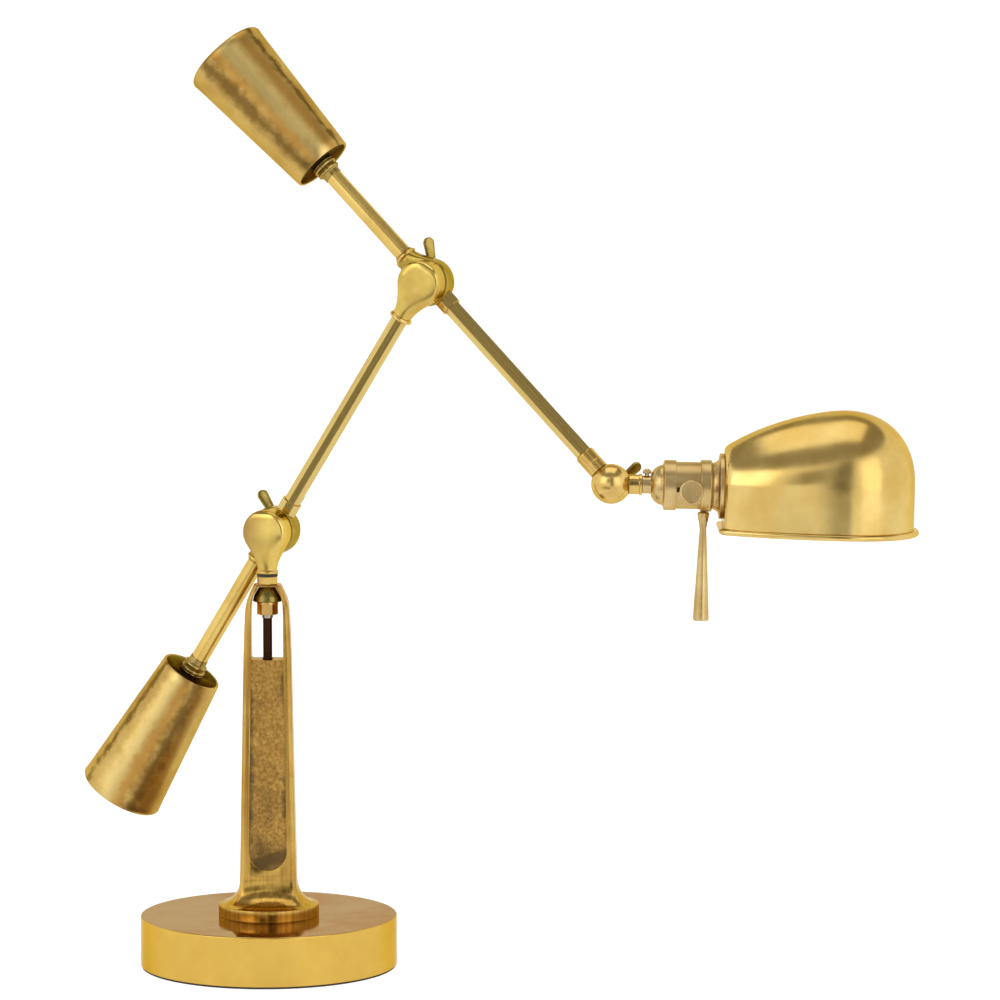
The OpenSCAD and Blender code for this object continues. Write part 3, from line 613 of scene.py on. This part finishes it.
def pillar_section(half_w, half_t, out):
    """A bevelled rectangle that spreads into the flange's circle as out goes from 0 to 1."""
    corners = []
    for sx, sy, first in ((1, -1, "front"), (1, 1, "side"), (-1, 1, "front"), (-1, -1, "side")):
        front_end = (sx * (half_w - BEVEL), sy * half_t)
        side_end = (sx * half_w, sy * (half_t - BEVEL))
        front_at = math.atan2(sy, 0) + sx * sy * -FRONT_FACET
        side_at = math.atan2(0, sx) + sx * sy * SIDE_FACET
        pair = [(front_end, front_at), (side_end, side_at)]
        corners += pair if first == "front" else pair[::-1]
    ring = []
    for k, (a, b) in enumerate(zip(corners, corners[1:] + corners[:1])):
        steps = 4 if k % 2 == 0 else 16
        sweep = (b[1] - a[1] + math.pi) % (2 * math.pi) - math.pi
        for i in range(steps):
            t = i / steps
            straight = Vector(a[0]).lerp(Vector(b[0]), t)
            angle = a[1] + sweep * t
            circle = Vector((math.cos(angle), math.sin(angle))) * FLARE_R
            ring.append(straight.lerp(circle, out))
    return ring


def cutter(bm):
    """A loose object to cut with, or to cut."""
    bmesh.ops.recalc_face_normals(bm, faces=bm.faces)
    return mesh_object("cut", bm)


def prism_cut(points, y0, y1, lean=0.0):
    """A closed prism over points in x and z, from y0 to y1. Its y0 side leans with the pillar's face."""
    bm = bmesh.new()
    rows = [[(x, y0 + lean * (z - FOOT[0]), z) for x, z in points], [(x, y1, z) for x, z in points]]
    skin(bm, [[Vector(p) * MM for p in row] for row in rows])
    return cutter(bm)


def round_cut(r, z0, z1):
    """An upright round hole."""
    bm = bmesh.new()
    lathe(bm, [(r * MM, z0 * MM), (r * MM, z1 * MM)], "z", 40)
    return cutter(bm)


def drop(obj):
    """Removes an object and its mesh."""
    mesh = obj.data
    bpy.data.objects.remove(obj)
    bpy.data.meshes.remove(mesh)


def carved(bm, cutters, bevel, edge_angle):
    """bm with the cutters taken out of it and its hard edges rounded."""
    blank = cutter(bm)
    for tool in cutters:
        cut_by = blank.modifiers.new("cut", "BOOLEAN")
        cut_by.object = tool
        cut_by.operation = "DIFFERENCE"
        cut_by.solver = "EXACT"
    rounding = blank.modifiers.new("round", "BEVEL")
    rounding.width = bevel
    rounding.segments = 2
    rounding.limit_method = "ANGLE"
    rounding.angle_limit = math.radians(edge_angle)
    bpy.context.view_layer.update()
    result = bmesh.new()
    result.from_object(blank, bpy.context.evaluated_depsgraph_get())
    for obj in [blank, *cutters]:
        drop(obj)
    return result


def panel_material():
    """The recessed panel: rough cast brass, with painted shade towards its edges and its foot where the
    recess walls would shade it, over clouds of patina.
    """
    n = Nodes("brass.panel")
    x, y, z = n.xyz()
    cloud = n.noise(42, 5, 0.65, 0.4)
    grit = n.noise(420, 4, 0.7)
    pits = n.noise(1400, 3, 0.6)
    # Painted shade: darker towards the panel's sides and its foot, near the recess walls, mixed with random
    # clouds of patina
    side = n.ramp(n.math("ABSOLUTE", x, 0.0), 8.5 * MM, 13.5 * MM, 0.0, 0.6)
    foot_shade = n.ramp(z, 73 * MM, 108 * MM, 0.75, 0.0)
    darkening = n.math("ADD", n.math("MAXIMUM", side, foot_shade), n.ramp(cloud, 0.36, 0.66, -0.25, 0.45))
    clean = n.mix(n.ramp(grit, 0.35, 0.68), (0.32, 0.17, 0.04), (0.56, 0.34, 0.09))
    colour = n.mix(n.ramp(darkening, 0.0, 1.0), clean, (0.14, 0.085, 0.032))
    n.set(Base_Color=colour, Metallic=1.0, Roughness=n.ramp(cloud, 0.3, 0.7, 0.40, 0.56))
    n.bump(n.math("ADD", grit, n.math("MULTIPLY", pits, 0.5)), 0.55, 0.4 * MM)
    return n.mat


def mirrored(side):
    """Points up the right side, and back down the left."""
    return [*side, *((-x, z) for x, z in reversed(side))]


def make_pillar():
    """The cast pillar: flange, flare, bevelled shaft, a panel on each face, window and bores."""
    rings = []
    for z, r in ((BASE_TOP, FLANGE_R), (FLANGE_TOP - 0.5, FLANGE_R), (FLANGE_TOP - 0.1, FLANGE_R - 0.3)):
        rings.append([(p.x * r / FLARE_R, p.y * r / FLARE_R, z)
                      for p in pillar_section(FOOT[1], FOOT[2], 1.0)])
    for k in range(FLARE_STEPS):
        s = math.radians(90) * k / FLARE_STEPS
        z = FLANGE_TOP + (FOOT[0] - FLANGE_TOP) * (1 - math.cos(s))
        rings.append([(p.x, p.y, z) for p in pillar_section(FOOT[1], FOOT[2], 1 - math.sin(s))])
    for z, half_w, half_t in SHAFT:
        rings.append([(p.x, p.y, z) for p in pillar_section(half_w, half_t, 0.0)])
    bm = bmesh.new()
    skin(bm, [[Vector(p) * MM for p in ring] for ring in rings])
    panel = arc(0, PANEL_FOOT, PANEL_R, 180, 348, 24) + [(PANEL_R, PANEL_FOOT)] + mirrored(PANEL_SIDE)
    floor_y = FOOT[2] - RECESS_T
    cutters = [prism_cut(mirrored(WINDOW_SIDE), -THROUGH, THROUGH),
               prism_cut(panel, -floor_y, -THROUGH, TAPER), prism_cut(panel, floor_y, THROUGH, -TAPER),
               round_cut(CROWN_BORE, 278, 290), round_cut(CORD_BORE, 200, 240)]
    body = carved(bm, cutters, 0.4 * MM, 30)
    pillar = finish_mesh("pillar_casting", body, WORLD, "base", brass("frame"), "pillar", 24)

    def on_panel(centre, normal):
        floor_here = floor_y - TAPER * (centre.z - FOOT[0])
        return centre.z > 70 and abs(normal.y) > 0.9 and abs(abs(centre.y) - floor_here) < 0.2

    paint(pillar, panel_material(), on_panel)


make_pillar()


# ---- Counterweights, in millimetres ----

SMALL_R = 23.0
BIG_R = 31.75
WEIGHT_LEN = 112.0
LOWER_WEIGHT_START = 128.0     # from the pivot to the small end
UPPER_WEIGHT_START = 118.5
END_ROUND = 4.0
CONE_STEPS = 14


def make_weight(name, local, body, frame_name, start):
    """A counterweight's cone, with the thin raised rim of its small end."""
    bm = bmesh.new()
    profile = [(6.4, 0.6), (14, 0.5), (SMALL_R - 1.9, 0.4), (SMALL_R - 1.3, 0.0), (SMALL_R - 0.5, 0.1),
               (SMALL_R, 0.8)]
    profile += [(SMALL_R + (BIG_R - SMALL_R) * k / CONE_STEPS, WEIGHT_LEN * k / CONE_STEPS)
                for k in range(1, CONE_STEPS)]
    profile += arc(BIG_R - END_ROUND, WEIGHT_LEN - END_ROUND, END_ROUND, 8, 90)
    profile += [(BIG_R - 5.5, WEIGHT_LEN), (BIG_R - 5.7, WEIGHT_LEN - 1)]
    lathe(bm, [(r * MM, (-start - x) * MM) for r, x in profile], "x", 128)
    cone = finish_mesh(name + "_cone", bm, local, body, brass("weight", frame_name), name + "_shell",
                       sharp=35)
    inward = local.inverted()

    def on_end(centre, normal):
        c = inward @ (centre * MM) / MM
        return c.x > -start - 0.8 and math.hypot(c.y, c.z) < SMALL_R - 1.8

    paint(cone, brass("end", frame_name), on_end)


make_weight("lower_weight", LOWER, "lower_boom", "lower", LOWER_WEIGHT_START)
make_weight("upper_weight", UPPER, "upper_boom", "upper", UPPER_WEIGHT_START)


# ---- Wing nuts, in millimetres and degrees ----

HUB_LEN = 8.0
EAR_TWIST = math.radians(38)
EAR_HALF = 4.3                 # half the paddle's width
EAR_ROOT = 2.4                 # where the ear starts, inside the hub
ROOT_HALF = 2.3
NUT_OUT = 8.4 * MM             # from the boom's mid plane to the nut's seat
HEAD_NUT_OUT = 13.05 * MM


def ear_ring(x, reach, turn):
    """The paddle's rounded section at x."""
    tip = reach - EAR_HALF
    if x < tip:
        half = ROOT_HALF + (EAR_HALF - ROOT_HALF) * (x / tip) ** 1.2
    else:
        half = EAR_HALF * math.sqrt(max(1 - ((x - tip) / EAR_HALF) ** 2, 0.004))
    thick = (1.4 - 0.4 * x / reach) * min(half / ROOT_HALF, 1)
    ring = []
    for i in range(28):
        a = 2 * math.pi * i / 28
        point = Vector((x, thick * power(math.sin(a), 0.7), half * power(math.cos(a), 0.85)))
        ring.append(turn @ (point * MM))
    return ring


def make_wing_nut(name, centre, x_axis, y_axis, frame_name, mean, spread, reach, bore):
    """A turned hub and two paddles, spread to either side of a mean angle about y and twisted."""
    bm = bmesh.new()
    hub = bore + 3
    profile = ((bore, 0), (hub - 0.4, 0), (hub, 0.5), (hub, 2), (hub - 1.2, HUB_LEN - 0.4),
               (hub - 1.8, HUB_LEN), (bore, HUB_LEN))
    lathe(bm, [(r * MM, y * MM) for r, y in profile], "y", 48)
    for side in (-1, 1):
        around = Matrix.Rotation(math.radians(mean + side * spread), 4, "Y")
        lift = Matrix.Translation((0, HUB_LEN / 2 * MM, 0))
        turn = around @ lift @ Matrix.Rotation(EAR_TWIST, 4, "X")
        skin(bm, [ear_ring(EAR_ROOT + (reach - EAR_ROOT) * (1 - (1 - k / 21) ** 1.5), reach, turn)
                  for k in range(22)])
    finish_mesh(name + "_casting", bm, place(centre, x_axis, y_axis), name + "_body",
                brass("wing", frame_name), name, sharp=50)


arm_x = SWIVEL.col[0].xyz
head_x = HEAD.col[0].xyz
head_y = HEAD.col[1].xyz
make_wing_nut("lower_wing_nut", lower_pivot + arm_y * NUT_OUT, arm_x, arm_y, "lower",
              mean=-91, spread=31, reach=32.5, bore=3)
make_wing_nut("upper_wing_nut", upper_pivot + arm_y * NUT_OUT, arm_x, arm_y, "upper",
              mean=-127, spread=27, reach=32.5, bore=3)
make_wing_nut("head_wing_nut", ball + head_y * HEAD_NUT_OUT, head_x, head_y, "head",
              mean=-88.5, spread=46.5, reach=29, bore=2)


# ---- CAD nodes that keep their meshes ----

# Finish and frame, then the nodes that have them
BRASS_NODES = (
    ("rim", "world", ("base_shell",)),
    ("satin", "swivel", ("swivel_stem",)),
    ("plain", "swivel", ("swivel_hex_nut",)),
    ("dark", "world", ("swivel_cup_washer",)),
    ("copper", "world", ("swivel_lock_nut",)),
    ("tube", "lower", ("lower_boom_collar", "lower_boom_tube")),
    ("rod", "lower", ("lower_weight_rod",)),
    ("turned", "lower", ("lower_rod_ferrule",)),
    ("old_ring", "lower", ("lower_weight_ferrule",)),
    ("weight", "lower", ("lower_weight_cap",)),
    ("tube", "upper", ("upper_boom_collar", "upper_boom_tube")),
    ("rod", "upper", ("upper_weight_rod",)),
    ("turned", "upper", ("upper_rod_ferrule",)),
    ("old_ring", "upper", ("upper_weight_ferrule",)),
    ("weight", "upper", ("upper_weight_cap",)),
    ("turned", "mount", ("boom_end_sleeve",)),
    ("plain", "mount", ("head_knuckle",)),
    ("plain", "head", ("head_drum",)),
    ("satin", "level", ("socket_cap", "socket_shell", "socket_screw_shell", "shade_holder", "handle",
                        "socket_thumb_screw", "switch_knob")))
for finish, where, nodes in BRASS_NODES:
    for node in nodes:
        smooth_cad(node, brass(finish, where))

paint(frame["nodes"]["base_shell"], brass("polished"), lambda centre, normal: normal.z > 0.9)

steel = plain("steel.turned", (0.56, 0.56, 0.55), (0.40, 0.40, 0.40), 0.32, 1.0)
nickel = plain("nickel.dull", (0.62, 0.60, 0.57), (0.42, 0.40, 0.38), 0.34, 1.0)
iron = plain("iron.cast", (0.10, 0.10, 0.105), (0.05, 0.05, 0.05), 0.6, 0.6)
rubber = plain("rubber.black", (0.030, 0.026, 0.022), (0.012, 0.010, 0.009), 0.6)
felt = plain("felt.black", (0.030, 0.033, 0.030), (0.010, 0.012, 0.011), 0.92, 0.0, 1800, 0.8)
card = plain("card.brown", (0.10, 0.075, 0.05), (0.05, 0.035, 0.02), 0.8)
wire = plain("wire.brown", (0.06, 0.025, 0.010), (0.02, 0.008, 0.004), 0.6, 0.0, 900)
OTHER_NODES = (
    (steel, ("pillar_nipple", "pillar_nut", "lower_pivot_stud", "upper_pivot_stud", "head_pivot_stud",
             "lower_weight_core", "upper_weight_core")),
    (nickel, ("cord_bush", "bulb_base")),
    (iron, ("base_weight",)),
    (rubber, ("cord_gland", "stem_washer", "lower_friction_washer", "upper_friction_washer",
              "head_friction_washer")),
    (felt, ("base_felt",)),
    (card, ("socket_liner",)),
    (wire, ("lower_boom_wire", "upper_boom_wire")),
    (braid_material(), ("inner_cord",)),
    (bulb_material(), ("bulb_glass",)))
for material, nodes in OTHER_NODES:
    for node in nodes:
        smooth_cad(node, material)


# ---- Camera, floor and lights ----

SENSOR = 36                    # millimetres, as is the lens
LENS = 187.2
LOOK_DOWN = math.radians(6.03)
DISTANCE = 3.827
AIM = Vector((0.1715, 0, 0.3468))
LIT_POINT = Vector((0.17, 0, 0.35))
FLOOR_R = 4.4
BEND_R = 1.2                   # from the floor up into the wall
WALL_TOP = 5.6
GLOW = 0.80                    # how much light the sweep gives of its own
WORLD_COLOUR = (1.0, 0.94, 0.86, 1)
WORLD_STRENGTH = 0.36


def add_camera():
    """The camera, in front of the lamp and looking a little down on it."""
    data = bpy.data.cameras.new("camera")
    data.sensor_width = SENSOR
    data.lens = LENS
    data.clip_end = 50
    cam = bpy.data.objects.new("camera", data)
    cam.location = AIM + Vector((0, -math.cos(LOOK_DOWN), math.sin(LOOK_DOWN))) * DISTANCE
    cam.rotation_euler = (math.radians(90) - LOOK_DOWN, 0, 0)
    bpy.context.scene.collection.objects.link(cam)
    bpy.context.scene.camera = cam


def add_sweep():
    """A round floor that curves up into a pale wall, so that every side has the same background."""
    line = [(0.6, 0.0), (2.4, 0.0), (FLOOR_R, 0.0)]
    line += arc(FLOOR_R, BEND_R, BEND_R, -80, 0)
    line.append((FLOOR_R + BEND_R, WALL_TOP))
    turns = [math.radians(a) for a in range(0, 360, 5)]
    bm = bmesh.new()
    rows = skin(bm, [[(r * math.cos(a), r * math.sin(a), z) for a in turns] for r, z in line],
                closed_ends=False)
    bm.faces.new(rows[0])
    bmesh.ops.recalc_face_normals(bm, faces=bm.faces)
    floor = mesh_object("sweep", bm)
    smooth(floor.data)
    pale = plain("sweep.pale", (0.36, 0.36, 0.36), (0.34, 0.34, 0.34), 0.8, 0.0, 40, 0.02)
    shader = pale.node_tree.nodes["Principled BSDF"]
    shader.inputs["Emission Color"].default_value = (1, 1, 1, 1)
    shader.inputs["Emission Strength"].default_value = GLOW
    floor.data.materials.append(pale)


def add_softbox(name, where, size, energy):
    """A rectangular lamp that faces the object."""
    data = bpy.data.lights.new(name, "AREA")
    data.shape = "RECTANGLE"
    data.size, data.size_y = size
    data.energy = energy
    light = bpy.data.objects.new(name, data)
    light.location = where
    light.rotation_euler = (LIT_POINT - Vector(where)).to_track_quat("-Z", "Y").to_euler()
    bpy.context.scene.collection.objects.link(light)


def upright(x0, x1, y, z0, z1):
    """Corners of an upright rectangle."""
    return [(x0, y, z0), (x1, y, z0), (x1, y, z1), (x0, y, z1)]


def level(x0, x1, y0, y1, z):
    """Corners of a rectangle that lies flat."""
    return [(x0, y0, z), (x1, y0, z), (x1, y1, z), (x0, y1, z)]


def add_card(name, material, corners):
    """A card that the camera doesn't see, for the metal to reflect."""
    bm = bmesh.new()
    bm.faces.new([bm.verts.new(p) for p in corners])
    card_object = mesh_object(name, bm)
    card_object.visible_camera = False
    card_object.visible_shadow = False
    card_object.data.materials.append(material)


def add_world():
    """A dim, slightly warm room."""
    world = bpy.data.worlds.new("room")
    world.use_nodes = True
    background = world.node_tree.nodes["Background"]
    background.inputs[0].default_value = WORLD_COLOUR
    background.inputs[1].default_value = WORLD_STRENGTH
    bpy.context.scene.world = world


add_camera()
add_sweep()
add_world()
dark_card = plain("card.dark", (0.04, 0.035, 0.03), (0.03, 0.025, 0.02), 0.8, 0.0, 60, 0.05)
grey_card = plain("card.grey", (0.34, 0.32, 0.27), (0.30, 0.28, 0.24), 0.8, 0.0, 60, 0.05)
add_card("front_card_left", dark_card, upright(0.08, 0.50, -2.6, 0.02, 2.6))
add_card("front_card_right", dark_card, upright(0.53, 0.82, -2.6, 0.02, 2.6))
add_card("left_card", grey_card, upright(-1.1, -0.2, -3.2, 1.0, 2.6))
add_card("floor_card", grey_card, level(-0.9, 0.15, -1.8, -0.75, 0.004))
add_softbox("key", (-2.4, -2.2, 1.9), (2.2, 2.2), 17)
add_softbox("fill", (2.1, -2.3, 1.2), (1.7, 2.4), 10)
add_softbox("top", (0.2, 0.2, 2.6), (1.8, 1.8), 12)
bpy.context.scene.view_settings.view_transform = "Standard"
